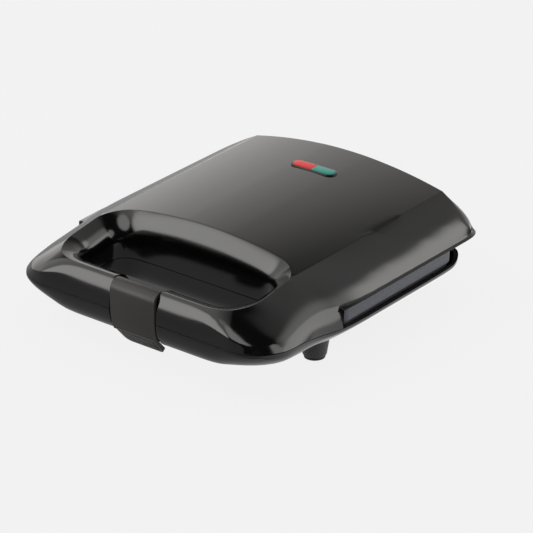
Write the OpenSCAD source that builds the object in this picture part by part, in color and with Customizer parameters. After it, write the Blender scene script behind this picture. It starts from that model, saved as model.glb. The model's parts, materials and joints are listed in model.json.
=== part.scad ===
// Sandwich toaster: two moulded housings hinged at the back, each carrying a cast cooking plate with
// triangular pockets. A finger well runs through the front of both, and a clip holds the handle shut.
// X to the right, -Y to the handle, +Z up. The origin is on the table under the middle of the part.

/* [Housings] */
// Width across the middle of the housings
body_w = 230; // [224:1:238]
// Depth from the front of the clip to the back of the lid
body_d = 236; // [232:1:242]
// How far the sides step in towards the front corners
nose_step = 5; // [3:0.5:9]
// Height of the parting line above the table
part_z = 35; // [33:0.5:38]
// Wall of both housings
wall = 2.4; // [2:0.1:2.8]
// Radius of the front corners in plan
nose_r = 30; // [24:1:34]
// Radius of the back corners in plan
back_r = 15; // [12:1:18]

/* [Lid] */
// Width of the top panel between its two creases
panel_w = 162; // [156:1:168]
// Height of the crease above the parting line at the back
crease_h = 31; // [29:0.5:33]
// Fall of the crease from back to front
crease_fall = 3.7; // [2:0.1:5]
// Rise of the crowned panel above its creases
crown = 9.5; // [7:0.5:11]
// Height of the open side rim above the parting line
rim_h = 9.6; // [9:0.2:11]
// Front end of the side opening, from the front
side_gap_y = 77; // [72:1:80]

/* [Handle] */
// Width of the finger well at its top
well_w = 163; // [156:1:168]
// Back edge of the finger well at its top, from the front
well_back = 77; // [74:1:82]
// Radius of the finger well's front corners at its top
well_r = 26; // [20:1:30]
// Width of the finger well at the parting line
grip_w = 135; // [126:1:140]
// Back wall of the finger well at the parting line, from the front
grip_back = 70; // [67:1:72]
// Depth of the handle bar at the parting line
bar_d = 22; // [20:0.5:24]
// Height of the handle bar above the parting line
bar_h = 21.6; // [20:0.4:24]
// Depth of the handle bar below the parting line
bar_drop = 18.8; // [17:0.2:20]

/* [Base] */
// Depth of the belly below the parting line
belly_drop = 21.5; // [20:0.5:23]
// How far the lid reaches back past the base
overhang = 14; // [12:1:18]
// Length over which the base rises to its sides
side_run = 50; // [42:1:56]
// Length over which the base rises to its back
back_run = 24; // [20:1:28]
// Radius of the base's back corners in plan
base_r = 25; // [20:1:28]

/* [Cooking plates] */
// Room for the wires between the plates and the back of the base
rear_room = 18; // [16:0.5:20]
// Gap between the plates when the lid is shut
plate_gap = 1; // [0.6:0.1:1.4]
// Thickness of the plates
plate_t = 2.4; // [2:0.1:3]
// Depth of each triangular pocket
pocket_h = 9; // [7:0.5:10]
// Width of the ridge between two pockets
ridge_w = 8; // [6:0.5:10]
// Width of the sealing border round the pockets
border_w = 6; // [5:0.5:8]
// Diameter of the sheathed heating elements
element_dia = 6.4; // [5.6:0.2:7]

/* [Clip] */
// Width of the clip
clip_w = 37.6; // [34:0.4:40]
// Thickness of the clip
clip_t = 2.6; // [2.2:0.1:3]
// Gap between the clip and each side of its channel
clip_gap = 1; // [0.6:0.1:1.4]
// Radius of the clip where it wraps over the bar
clip_r = 7; // [6.4:0.2:7.4]
// Width of the ribbed pull tab
tab_w = 33; // [27:1:35]
// Length of the ribbed pull tab
tab_l = 16; // [13:0.5:17]
// Diameter of the clip's pin
pin_dia = 3; // [2.4:0.2:3.4]

/* [Indicator] */
// Length of the indicator window, across the lid
lens_l = 35; // [30:1:40]
// Width of the indicator window
lens_w = 8.6; // [7.6:0.2:10]
// Middle of the indicator window, from the back of the lid
lens_back = 42; // [36:1:48]
// Width of the dark surround
bezel_w = 1.1; // [0.8:0.1:1.6]

/* [Hinge] */
// Hinge axis, from the back of the base
hinge_in = 3.5; // [2:0.5:5]
// Hinge axis above the parting line
hinge_h = 5.6; // [5.2:0.1:6.2]
// Distance of each hinge from the middle
hinge_x = 72; // [64:1:74]
// Outer radius of the hinge barrels
barrel_r = 4.6; // [4.2:0.1:4.8]
// Diameter of the hinge pins
hinge_pin_dia = 4; // [3.4:0.2:4.6]

/* [Feet and inlet] */
// Diameter of a foot at the table
foot_dia = 16; // [14:0.5:18]
// Thickness of the pad under each foot
pad_t = 2; // [1.5:0.25:3]
// Front feet, from the sides
foot_in = 30; // [26:1:36]
// Front feet, from the front
foot_front = 84; // [78:1:92]
// Back feet, from the sides
rear_foot_in = 49; // [40:1:55]
// Back feet, from the back of the base
foot_back = 30; // [26:1:36]
// Diameter of the cord hole in the gland
cord_hole = 5.6; // [5:0.2:6]

/* [Hidden] */
$fn = 64;

front_y = -body_d / 2;
back_y = body_d / 2;
half_w = body_w / 2;
nose_half = half_w - nose_step;
panel_half = panel_w / 2;
gap_y = front_y + side_gap_y;
base_back = body_d - overhang;
channel_half = clip_w / 2 + clip_gap;
fit = 0.3;       // clearance between pieces that don't touch
running = 0.05;  // radial clearance of a pin in its hole
bite = 0.3;      // how far an inner piece is let into a housing's wall

// ---- Grid of both housings ----
// The top of each housing is one grid of rows and columns with the finger well left out of its middle.
// Rings round its outer edge form the skirt, and rings round the well form the well's wall.
// The same grid, moved in by the wall, is the inside. Column 0 is the middle, and the right half is
// computed and mirrored.
band = 5;                  // steps across the shoulders and across the handle bar
well_rows = 6;             // rows beside the well
part_gap = 0.4;            // gap between the two housings
skirt_steps = 3;
wall_steps = 6;
swell_y = gap_y - 24;      // where the sides begin to swell out
rim_swell = 34;            // length over which the rims swell out
edge_swell = 48;           // length over which the lid's edge above its rim does so

function lerp(a, b, t) = a + (b - a) * t;
function clamp01(t) = min(1, max(0, t));
function smooth(t) = let (c = clamp01(t)) c * c * (3 - 2 * c);
function coons(left, right, bottom, top, p00, p10, p01, p11, u, v) =
    (1 - u) * left + u * right + (1 - v) * bottom + v * top
    - ((1 - u) * (1 - v) * p00 + u * (1 - v) * p10 + (1 - u) * v * p01 + u * v * p11);
function band_u(k) = sin(90 * k / band);         // 0 at the crease, 1 at the edge
function band_v(j) = 1 - sin(90 * (1 - j / band)); // 0 at the edge, 1 at the crest of the bar

// An outline is [front y, half width at the nose, nose radius, back y, half width at the back, back
// radius, x where the round front and back corners begin to be stepped, length over which the sides
// swell out].
function front_edge(x, o) =
    let (past = max(0, x - o[1] + o[2])) [x, o[0] + o[2] - sqrt(o[2] * o[2] - past * past)];
function front_point(u, o) =
    let (
        straight = max(0, o[1] - o[2] - o[6]),
        turned = asin(max(0, o[6] - o[1] + o[2]) / o[2]),
        s = u * (straight + o[2] * (45 - turned) * PI / 180),
        turn = turned + (s - straight) / o[2] * 180 / PI
    )
    s < straight ? [o[6] + s, o[0]]
    : [o[1] - o[2] + o[2] * sin(turn), o[0] + o[2] - o[2] * cos(turn)];
function back_point(u, o) =
    let (
        straight = o[4] - o[5] - o[6],
        s = u * (straight + o[5] * PI / 4),
        turn = (s - straight) / o[5] * 180 / PI
    )
    s < straight ? [o[6] + s, o[3]]
    : [o[4] - o[5] + o[5] * sin(turn), o[3] - o[5] + o[5] * cos(turn)];
// Half width beside the well and the plates: it swells from the nose to the middle.
function side_x(y, o) = lerp(o[1], o[4], smooth((y - swell_y) / o[7]));

// A well is [half width, radius of its back corners, front y, back y, x up to which columns stay put,
// radius of its front corners, x of the outermost column].
function well_front(x, top, w) =
    let (tx = top[0] - top[5], wx = w[0] - w[5])
    x <= w[4] ? [x, w[2]]
    : x <= tx ? [lerp(w[4], wx, (x - w[4]) / (tx - w[4])), w[2]]
    : let (turn = 45 * (x - tx) / (top[6] - tx)) [wx + w[5] * sin(turn), w[2] + w[5] - w[5] * cos(turn)];
function well_back_point(x, top, w) =
    let (tx = top[0] - top[1], wx = w[0] - w[1])
    x <= w[4] ? [x, w[3]]
    : x <= tx ? [lerp(w[4], wx, (x - w[4]) / (tx - w[4])), w[3]]
    : let (turn = acos((x - tx) / top[1])) [wx + w[1] * cos(turn), w[3] - w[1] + w[1] * sin(turn)];
function well_side(s, top, w) =
    s <= 2 ? let (turn = 45 + 22.5 * s)
        [w[0] - w[5] + w[5] * sin(turn), w[2] + w[5] - w[5] * cos(turn)]
    : s == 3 ? [w[0], (w[2] + w[5] + w[3] - w[1]) / 2]
    : let (turn = acos((top[6] - top[0] + top[1]) / top[1]) * (s - 4) / 2)
        [w[0] - w[1] + w[1] * cos(turn), w[3] - w[1] + w[1] * sin(turn)];

// Index of a grid point, of a skirt point and of a point on the well's wall.
function at(i, j, n) = j * (n + 1) + i;
function edge_at(q, n, m) =
    q < n ? at(q, 0, n)
    : q < n + m ? at(n, q - n, n)
    : q < 2 * n + m ? at(2 * n + m - q, m, n)
    : at(0, 2 * n + 2 * m - q, n);
function rim_at(q, n, c) =
    q < c ? at(band + q, band, n)
    : q < c + well_rows ? at(band + c, band + q - c, n)
    : q < 2 * c + well_rows ? at(band + 2 * c + well_rows - q, band + well_rows, n)
    : at(band, band + 2 * c + 2 * well_rows - q, n);

function quad(a, b, c, d) = [[a, b, c], [a, c, d]];
function flip(quads) = [for (q = quads) for (t = q) [t[2], t[1], t[0]]];
function keep(quads) = [for (q = quads) for (t = q) t];
function in_box(i, j, b) = i >= b[0] && i < b[1] && j >= b[2] && j < b[3];

// A housing: outer and inner are lists of the same points, n and m the columns and rows, c the columns
// across the well, slot the half number of columns cut away for the clip, slot_rings how far that cut
// goes down the well's wall, and hole a box of cells left out of the grid, with a wall round it.
module housing(outer, inner, n, m, c, slot, slot_rings, hole, upside_down) {
    e = 2 * (n + m);
    w = 2 * (c + well_rows);
    grid = (n + 1) * (m + 1);
    off = len(outer);
    q0 = n / 2 - slot;
    q1 = n / 2 + slot;
    w0 = c / 2 - slot;
    w1 = c / 2 + slot;
    function skirt(q, r) = let (p = (q + e) % e) r == 0 ? edge_at(p, n, m) : grid + (r - 1) * e + p;
    function inside(q, r) =
        let (p = (q + w) % w) r == 0 ? rim_at(p, n, c) : grid + skirt_steps * e + (r - 1) * w + p;
    skin = [
        for (j = [0:m - 1]) for (i = [0:n - 1])
            if (!in_box(i, j, [band, band + c, band, band + well_rows])
                && !in_box(i, j, [q0, q1, 0, band]) && !in_box(i, j, hole))
                quad(at(i, j, n), at(i + 1, j, n), at(i + 1, j + 1, n), at(i, j + 1, n)),
        for (r = [0:skirt_steps - 1]) for (q = [0:e - 1]) if (q < q0 || q >= q1)
            quad(skirt(q, r + 1), skirt(q + 1, r + 1), skirt(q + 1, r), skirt(q, r)),
        for (r = [0:wall_steps - 1]) for (q = [0:w - 1]) if (q < w0 || q >= w1 || r >= slot_rings)
            quad(inside(q + 1, r + 1), inside(q, r + 1), inside(q, r), inside(q + 1, r))
    ];
    lining = [for (s = skin) [for (t = s) [t[0] + off, t[2] + off, t[1] + off]]];
    cut = concat(
        [for (r = [skirt_steps:-1:0]) r],
        [for (j = [1:band]) -j],
        [for (r = [1:1:slot_rings]) 100 + r]
    );
    function cut_at(k, q, i, p) = cut[k] > 100 ? inside(p, cut[k] - 100)
        : cut[k] < 0 ? at(i, -cut[k], n) : skirt(q, cut[k]);
    edges = [
        for (q = [0:e - 1]) if (q < q0 || q >= q1)
            let (a = skirt(q, skirt_steps), b = skirt(q + 1, skirt_steps))
                quad(a, a + off, b + off, b),
        for (q = [0:w - 1])
            let (a = inside(q, wall_steps), b = inside(q + 1, wall_steps))
                quad(a + off, a, b, b + off),
        for (k = [0:1:len(cut) - 2])
            let (a = cut_at(k, q0, q0, w0), b = cut_at(k + 1, q0, q0, w0))
                if (slot > 0) quad(a, a + off, b + off, b),
        for (k = [0:1:len(cut) - 2])
            let (a = cut_at(k, q1, q1, w1), b = cut_at(k + 1, q1, q1, w1))
                if (slot > 0) quad(b, b + off, a + off, a),
        for (q = [w0:1:w1 - 1])
            let (a = inside(q, slot_rings), b = inside(q + 1, slot_rings))
                quad(b, a, a + off, b + off),
        for (i = [hole[0]:1:hole[1] - 1]) let (a = at(i, hole[2], n), b = at(i + 1, hole[2], n))
            quad(a, b, b + off, a + off),
        for (i = [hole[0]:1:hole[1] - 1]) let (a = at(i, hole[3], n), b = at(i + 1, hole[3], n))
            quad(b, a, a + off, b + off),
        for (j = [hole[2]:1:hole[3] - 1]) let (a = at(hole[0], j, n), b = at(hole[0], j + 1, n))
            quad(b, a, a + off, b + off),
        for (j = [hole[2]:1:hole[3] - 1]) let (a = at(hole[1], j, n), b = at(hole[1], j + 1, n))
            quad(a, b, b + off, a + off)
    ];
    all = concat(skin, lining, edges);
    polyhedron(concat(outer, inner), upside_down ? keep(all) : flip(all));
}

// Points of a housing from functions of the right half: place(a, j), skirt and well wall.
function mirror_x(p, s) = [s * p[0], p[1], p[2]];

// ---- Lid ----
lid_panel_rows = 13;
lid_back_rows = 1;
lid_m = band + well_rows + lid_panel_rows + lid_back_rows;
lens_half = lens_l / 2 - lens_w / 2 + 3;
lid_cols = concat(
    [0, lens_half / 2, lens_half, channel_half],
    [for (k = [1:7]) lerp(channel_half, panel_half, sin(90 * k / 7))]
);
lid_c = 2 * (len(lid_cols) - 1);
lid_n = lid_c + 2 * band;
lid_top_z = part_z + bar_h;
lid_round = 1.5;                        // rounding of the top panel's back edge
crease_back_y = back_y - 1.5 - lid_round;
lens_mid_y = back_y - lens_back;
lens_rows = [for (s = [-1, 1])
    (lens_mid_y + s * (lens_w / 2 - 0.4) - front_y - well_back) / (crease_back_y - front_y - well_back)];
lid_v = concat(
    [0, 0.035, 0.09],
    [for (k = [1:6]) lerp(0.09, lens_rows[0], k / 6)],
    [lens_rows[1], 0.86, 0.93, 0.975, 1]
);
well_back_r = 20;                       // radius of the well's back corners at its top
grip_r = 14;                            // radius of the well's corners at the parting line
lid_well = [well_w / 2, well_back_r, front_y + clip_r, front_y + well_back, channel_half, well_r,
    panel_half];
function lid_well_at(t) = [lid_well[0] + t, well_back_r + t, lid_well[2], lid_well[3] + t, channel_half,
    well_r + t];
function lid_grip_at(t) = [grip_w / 2 + t, grip_r + t, front_y + bar_d - t, front_y + grip_back + t,
    channel_half, grip_r + t];
nose_lean = 4;                          // how far the lid's edge leans in at the front corners
side_lean = 2.5;                        // and along the sides
lip_y = front_y + 0.2;                  // front edge of both housings, just behind the clip's face
function lid_edge(t) = [lip_y + t, nose_half - nose_lean - t, nose_r, back_y - 1.5 - t,
    half_w - side_lean - t, back_r, panel_half, edge_swell];
function lid_rim(t) = [lip_y + t, nose_half - t, nose_r, back_y - t, half_w - t, back_r, panel_half,
    rim_swell];

function crease_z(y) = part_z + crease_h - crease_fall * (crease_back_y - y) / (crease_back_y - front_y);
function panel_z(x, y) = crease_z(y) + crown * (1 - pow(x / panel_half, 2));
// Height of the well's rim: low on the bar, rising along the sides to the creases.
function lid_rim_z(x, y) =
    let (crease_y = lid_well[3] - 14, s = clamp01((y - lid_well[2]) / (crease_y - lid_well[2])))
    y > crease_y - 1 ? panel_z(min(x, panel_half), y)
    : lerp(lid_top_z, crease_z(crease_y), pow(s, 1.5));
edge_low = 4.6;                         // height of the skirt at the nose's corners
function lid_edge_z(x, y) =
    y < front_y + 1 ? part_z + lerp(bar_h - 7.4, edge_low + 1, smooth((x - 45) / 60))
    : part_z + lerp(edge_low, rim_h + 1.2, smooth((y - front_y) / (side_gap_y - 10)));
function shoulder(w) = 0.8 * w + 0.2 * pow(w, 4);
// How far the surface bulges above a straight line from the crest to the edge. full is 1 on the bar.
function bulge(w, full) = full * (w - 1 + sqrt(max(0, 1 - w * w))) + (1 - full) * (w - shoulder(w));
function lid_full(x) = 1 - 0.85 * smooth((x - 45) / 40);

// Height of the side edge of the top, and how far the lining lies below it
function lid_side_y(j) =
    let (start = band + well_rows + 2, last = lid_m - 2, y1 = back_y - 1.5 - back_r)
    j <= band + well_rows ? lerp(lip_y + nose_r, gap_y - 8, (j - band) / well_rows)
    : j == band + well_rows + 1 ? gap_y - 0.6
    : lerp(gap_y, y1, (j - start) / (last - start));
function lid_side(j, o) =
    j <= band ? let (turn = 45 + 45 * j / band)
        [o[1] - o[2] + o[2] * sin(turn), o[0] + o[2] - o[2] * cos(turn)]
    : j >= lid_m - 1 ? let (turn = 22.5 * (j - lid_m + 2))
        [o[4] - o[5] + o[5] * cos(turn), o[3] - o[5] + o[5] * sin(turn)]
    : let (y = lid_side_y(j)) [side_x(y, o), y];

function lid_corner_z(u) = lerp(crease_z(crease_back_y) - lid_round, part_z + rim_h + 1.2, shoulder(u));
function lid_place(a, j, t) =
    let (
        last = len(lid_cols) - 1,
        o = lid_edge(t),
        w = lid_well_at(t),
        x = lid_cols[min(a, last)],
        u = band_u(a - last),
        v = band_v(j),
        s = min(well_rows, max(0, j - band)),
        pv = lid_v[min(lid_panel_rows, max(0, j - band - well_rows))],
        rim_side = well_side(s, lid_well, w),
        crest = well_side(0, lid_well, w),
        es = lid_side(j, o),
        es_z = lid_edge_z(es[0], es[1]) - 0.4 * t * smooth((es[1] - front_y - bar_d) / 40),
        rs_z = lid_rim_z(rim_side[0], rim_side[1]) - t,
        crest_z = lid_rim_z(crest[0], crest[1]) - t
    )
    // the bar, from its front edge to its crest
    a <= last && j <= band ? let (
        f = front_edge(x, o), r = well_front(x, lid_well, w),
        fz = lid_edge_z(x, front_y), rz = lid_rim_z(r[0], r[1]) - t
    ) [lerp(f[0], r[0], v), lerp(f[1], r[1], v), lerp(fz, rz, v) + (rz - fz) * bulge(1 - v, lid_full(x))]
    // the front corner
    : j <= band ? let (
        f0 = front_edge(panel_half, o), f = front_point(u, o),
        side = lid_side(0, o), top_side = lid_side(band, o),
        p = coons(lerp(f0, crest, v), es, f, lerp(crest, top_side, u), f0, side, crest, top_side, u, v),
        f0_z = lid_edge_z(panel_half, front_y),
        f_z = lerp(f0_z, lid_edge_z(side[0], side[1]), u),
        z = coons(lerp(f0_z, crest_z, v), es_z, f_z,
            lerp(crest_z, lid_edge_z(top_side[0], top_side[1]), u),
            f0_z, lid_edge_z(side[0], side[1]), crest_z, lid_edge_z(top_side[0], top_side[1]), u, v),
        w1 = 1 - (1 - u) * v
    ) [p[0], p[1], z + (crest_z - es_z) * bulge(w1, lid_full(panel_half) * (1 - u))]
    // beside the well
    : j <= band + well_rows && a >= last ? [
        lerp(rim_side[0], es[0], u), lerp(rim_side[1], es[1], u),
        lerp(rs_z, es_z, u) + (rs_z - es_z) * bulge(u, lid_full(panel_half) * (1 - u) * (1 - s / 6))]
    // the top panel
    : a <= last ? let (r = well_back_point(x, lid_well, w), y = lerp(r[1], crease_back_y - t, pv))
        j == lid_m ? [x, o[3], panel_z(x, crease_back_y) - lid_round - t]
        : [x, y, panel_z(x, y) - t]
    // the shoulders
    : let (
        v1 = j == lid_m ? 1 : pv * 0.99,
        c0 = well_back_point(panel_half, lid_well, w), c1 = [panel_half, o[3]],
        crease = lerp(c0, c1, v1), top = back_point(u, o),
        s0 = lid_side(band + well_rows, o), s1 = lid_side(lid_m, o),
        p = coons(crease, es, lerp(c0, s0, u), top, c0, s0, c1, s1, u, v1),
        cz = crease_z(crease[1]) - (j == lid_m ? lid_round : 0) - t
    ) [p[0], p[1], lerp(cz, es_z, shoulder(u))];

function lid_skirt(a, j, front, back, r, t) =
    let (
        last = len(lid_cols) - 1, o = lid_rim(t), s = r / skirt_steps,
        top = lid_place(a, j, t),
        u = band_u(a - last),
        foot = front ? (a <= last ? front_edge(lid_cols[a], o) : front_point(u, o))
            : back ? (a <= last ? [lid_cols[a], o[3]] : back_point(u, o)) : lid_side(j, o),
        z = foot[1] < gap_y - 0.3 ? part_z + part_gap : part_z + rim_h
    ) [lerp(top[0], foot[0], s), lerp(top[1], foot[1], s), lerp(top[2], z, s)];

// The well's wall rolls over from the rim and ends upright at the parting line.
roll = 0.55;
function roll_t(r) = r <= 4 ? roll * (1 - cos(22.5 * r)) : lerp(roll, 1, (r - 4) / (wall_steps - 4));
function roll_g(t, front) =
    let (s = 1 - min(1, t / roll)) front ? sqrt(1 - s * s) : 1 - s * s;
function well_wall(rim, foot, z, r, front) =
    let (t = roll_t(r), g = roll_g(t, front))
    [lerp(rim[0], foot[0], g), lerp(rim[1], foot[1], g), lerp(rim[2], z, t)];
function lid_wall(a, s, front, back, r, t) =
    let (
        x = lid_cols[a], w = lid_grip_at(t),
        rim = front ? lid_place(a, band, t)
            : back ? lid_place(a, band + well_rows, t) : lid_place(len(lid_cols) - 1, band + s, t),
        foot = front ? well_front(x, lid_well, w)
            : back ? well_back_point(x, lid_well, w) : well_side(s, lid_well, w)
    ) well_wall(rim, foot, part_z + part_gap, r, front || (!back && s < 2));

function half_col(i, n) = abs(i - n / 2);
function side_of(i, n) = i < n / 2 ? -1 : 1;
function lid_points(t) = concat(
    [for (j = [0:lid_m]) for (i = [0:lid_n])
        mirror_x(lid_place(half_col(i, lid_n), j, t), side_of(i, lid_n))],
    [for (r = [1:skirt_steps]) for (q = [0:2 * (lid_n + lid_m) - 1])
        q < lid_n ? mirror_x(lid_skirt(half_col(q, lid_n), 0, true, false, r, t), side_of(q, lid_n))
        : q < lid_n + lid_m ? lid_skirt(lid_n / 2, q - lid_n, q == lid_n, false, r, t)
        : q < 2 * lid_n + lid_m ? let (i = 2 * lid_n + lid_m - q)
            mirror_x(lid_skirt(half_col(i, lid_n), lid_m, false, true, r, t), side_of(i, lid_n))
        : let (j = 2 * lid_n + 2 * lid_m - q)
            mirror_x(lid_skirt(lid_n / 2, j, false, j == lid_m, r, t), -1)],
    [for (r = [1:wall_steps]) for (q = [0:2 * (lid_c + well_rows) - 1])
        q < lid_c ? mirror_x(lid_wall(half_col(q, lid_c), 0, q > 0, false, r, t), side_of(q, lid_c))
        : q < lid_c + well_rows ? lid_wall(lid_c / 2, q - lid_c, false, false, r, t)
        : q < 2 * lid_c + well_rows ? let (i = 2 * lid_c + well_rows - q)
            mirror_x(lid_wall(half_col(i, lid_c), well_rows, false, i < lid_c, r, t), side_of(i, lid_c))
        : let (s = 2 * lid_c + 2 * well_rows - q) mirror_x(lid_wall(lid_c / 2, s, false, false, r, t), -1)]
);
lens_row = band + well_rows + 8;

// ---- Base ----
base_lip = 2;                           // upright edge below the parting line
base_flare = 9.6;                       // widening of the well from the parting line to the bottom
base_roll = 14;                         // length over which the bar rounds under
gland_w = 15.4;
base_panel_rows = 7;
base_back_rows = band;
base_m = band + well_rows + base_panel_rows + base_back_rows;
base_well_r = 20;                       // radius of the well's corners under the base
base_half = grip_w / 2 + base_flare;
base_crease = base_half - 5;
base_cols = concat(
    [0, gland_w / 2 + fit, (gland_w / 2 + fit + channel_half) / 2, channel_half],
    [for (k = [1:6]) lerp(channel_half, base_crease, sin(90 * k / 6))]
);
base_last = len(base_cols) - 1;
base_c = 2 * base_last;
base_n = base_c + 2 * band;
base_flat_end = front_y + base_back - back_run;
base_well = [base_half, base_well_r, front_y + base_roll, front_y + grip_back + 7, channel_half,
    base_well_r, base_crease];
function base_well_at(t) = [base_half + t, base_well_r + t, base_well[2], base_well[3] + t, channel_half,
    base_well_r + t];
function base_grip_at(t) = lid_grip_at(t);
function base_edge(t) = [lip_y + t, nose_half - t, nose_r, front_y + base_back - t, half_w - t,
    base_r, base_crease, rim_swell];
function base_depth(y) = lerp(bar_drop, belly_drop, smooth((y - base_well[2]) / (base_well[3] - base_well[2])))
    - base_lip;
base_flat = half_w - side_run;          // where the belly starts to rise
function base_rise(x) = clamp01((x - base_flat) / side_run);
function base_z(y, w, t) = part_z - base_lip - (base_depth(y) - t) * sqrt(max(0, 1 - w * w));

function base_side_y(j) =
    j <= band + well_rows ? lerp(lip_y + nose_r, gap_y, (j - band) / well_rows)
    : lerp(gap_y, front_y + base_back - base_r, (j - band - well_rows) / base_panel_rows);
function base_side(j, o) =
    j <= band ? let (turn = 45 + 45 * j / band)
        [o[1] - o[2] + o[2] * sin(turn), o[0] + o[2] - o[2] * cos(turn)]
    : j >= base_m - base_back_rows ? let (turn = 45 * (j - base_m + base_back_rows) / base_back_rows)
        [o[4] - o[5] + o[5] * cos(turn), o[3] - o[5] + o[5] * sin(turn)]
    : let (y = base_side_y(j)) [side_x(y, o), y];
function base_place(a, j, t) =
    let (
        last = base_last,
        o = base_edge(t),
        w = base_well_at(t),
        x = base_cols[min(a, last)],
        u = band_u(a - last),
        v = band_v(j),
        s = min(well_rows, max(0, j - band)),
        rim_side = well_side(s, base_well, w),
        crest = well_side(0, base_well, w),
        es = base_side(j, o),
        j1 = band + well_rows,
        j2 = base_m - base_back_rows,
        pv = clamp01((j - j1) / base_panel_rows),
        vb = j <= j2 ? 0 : sin(90 * (j - j2) / base_back_rows),
        flat_y = base_flat_end
    )
    // the bar
    a <= last && j <= band ? let (
        f = front_edge(x, o), r = well_front(x, base_well, w),
        px = lerp(x, r[0], v), py = lerp(f[1], r[1], v)
    ) [px, py, base_z(py, 1 - v * (1 - base_rise(px)), t)]
    // the front corner
    : j <= band ? let (
        f0 = front_edge(base_crease, o), f = front_point(u, o),
        side = base_side(0, o), top_side = base_side(band, o),
        p = coons(lerp(f0, crest, v), es, f, lerp(crest, top_side, u), f0, side, crest, top_side, u, v),
        rise = lerp(base_rise(lerp(base_crease, crest[0], v)), 1, u)
    ) [p[0], p[1], base_z(p[1], 1 - v * (1 - rise), t)]
    // beside the well
    : j <= j1 && a >= last ? let (
        rise = lerp(base_rise(rim_side[0] - t), 1, u), py = lerp(rim_side[1], es[1], u)
    ) [lerp(rim_side[0], es[0], u), py, base_z(py, rise, t)]
    // the belly and the back
    : a <= last ? let (
        r = well_back_point(x, base_well, w),
        py = j <= j2 ? lerp(r[1], flat_y, pv) : lerp(flat_y, o[3], vb)
    ) [x, py, base_z(py, 1 - (1 - vb) * (1 - base_rise(x)), t)]
    : j <= j2 ? let (
        c0 = well_back_point(base_crease, base_well, w), c1 = [base_crease, flat_y],
        py = lerp(lerp(c0[1], c1[1], pv), es[1], u),
        rise = lerp(base_rise(base_crease), 1, u)
    ) [lerp(base_crease, es[0], u), py, base_z(py, rise, t)]
    : let (
        c1 = [base_crease, flat_y], c2 = [base_crease, o[3]],
        s1 = base_side(j2, o), s2 = base_side(base_m, o),
        p = coons(lerp(c1, c2, vb), es, lerp(c1, s1, u), back_point(u, o), c1, s1, c2, s2, u, vb),
        rise = lerp(base_rise(base_crease), 1, u)
    ) [p[0], p[1], base_z(p[1], 1 - (1 - vb) * (1 - rise), t)];
function base_skirt(a, j, r, t) = let (p = base_place(a, j, t)) [p[0], p[1], p[2] + base_lip * r / skirt_steps];
function base_wall(a, s, front, back, r, t) =
    let (
        x = base_cols[a], w = base_grip_at(t),
        rim = front ? base_place(a, band, t)
            : back ? base_place(a, band + well_rows, t) : base_place(base_last, band + s, t),
        foot = front ? well_front(x, base_well, w)
            : back ? well_back_point(x, base_well, w) : well_side(s, base_well, w)
    ) well_wall(rim, foot, part_z, r, front || (!back && s < 2));
function base_points(t) = concat(
    [for (j = [0:base_m]) for (i = [0:base_n])
        mirror_x(base_place(half_col(i, base_n), j, t), side_of(i, base_n))],
    [for (r = [1:skirt_steps]) for (q = [0:2 * (base_n + base_m) - 1])
        q < base_n ? mirror_x(base_skirt(half_col(q, base_n), 0, r, t), side_of(q, base_n))
        : q < base_n + base_m ? base_skirt(base_n / 2, q - base_n, r, t)
        : q < 2 * base_n + base_m ? let (i = 2 * base_n + base_m - q)
            mirror_x(base_skirt(half_col(i, base_n), base_m, r, t), side_of(i, base_n))
        : mirror_x(base_skirt(base_n / 2, 2 * base_n + 2 * base_m - q, r, t), -1)],
    [for (r = [1:wall_steps]) for (q = [0:2 * (base_c + well_rows) - 1])
        q < base_c ? mirror_x(base_wall(half_col(q, base_c), 0, q > 0, false, r, t), side_of(q, base_c))
        : q < base_c + well_rows ? base_wall(base_last, q - base_c, false, false, r, t)
        : q < 2 * base_c + well_rows ? let (i = 2 * base_c + well_rows - q)
            mirror_x(base_wall(half_col(i, base_c), well_rows, false, i < base_c, r, t), side_of(i, base_c))
        : mirror_x(base_wall(base_last, 2 * base_c + 2 * well_rows - q, false, false, r, t), -1)]
);

module lid_shell() color("#2b2a29")
    housing(lid_points(0), lid_points(wall), lid_n, lid_m, lid_c, 3, 2,
        [lid_n / 2 - 2, lid_n / 2 + 2, lens_row, lens_row + 1], false);

module base_shell() color("#232323")
    housing(base_points(0), base_points(wall), base_n, base_m, base_c, 3, 0,
        [base_n / 2 - 1, base_n / 2 + 1, base_m - 4, base_m - 1], true);

// ---- Small helpers ----
function off(y) = front_y + y;          // a length from the front, in the part's own frame
module box3(x0, x1, y0, y1, z0, z1) translate([x0, y0, z0]) cube([x1 - x0, y1 - y0, z1 - z0]);
module both() {
    children();
    mirror([1, 0, 0]) children();
}
module along_x(x0, x1) translate([x0, 0, 0]) rotate([90, 0, 90]) linear_extrude(x1 - x0) children();
module rod(a, b, r) {
    d = b - a;
    l = norm(d);
    translate(a) rotate([0, acos(d[2] / l), atan2(d[1], d[0])]) cylinder(r = r, h = l);
}
// A round bar or wire along a list of points, as one closed skin of n sides
function unit(v) = v / norm(v);
function tangent(p, k) =
    let (a = max(0, k - 1), b = min(len(p) - 1, k + 1))
    unit((k > 0 ? unit(p[k] - p[a]) : [0, 0, 0]) + (k < len(p) - 1 ? unit(p[b] - p[k]) : [0, 0, 0]));
module tube(p, r, n = 10) {
    rings = [for (k = [0:len(p) - 1]) let (
        t = tangent(p, k), a = unit(cross(t, [0.2, 0.35, -0.91])), b = cross(t, a)
    ) for (i = [0:n - 1]) p[k] + r * cos(360 * i / n) * a + r * sin(360 * i / n) * b];
    last = (len(p) - 1) * n;
    polyhedron(rings, concat(
        [[for (i = [0:n - 1]) i]], [[for (i = [n - 1:-1:0]) last + i]],
        [for (k = [0:len(p) - 2]) for (i = [0:n - 1]) let (c = k * n + i, d = k * n + (i + 1) % n)
            for (f = [[c, c + n, d + n], [c, d + n, d]]) f]));
}
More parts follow.
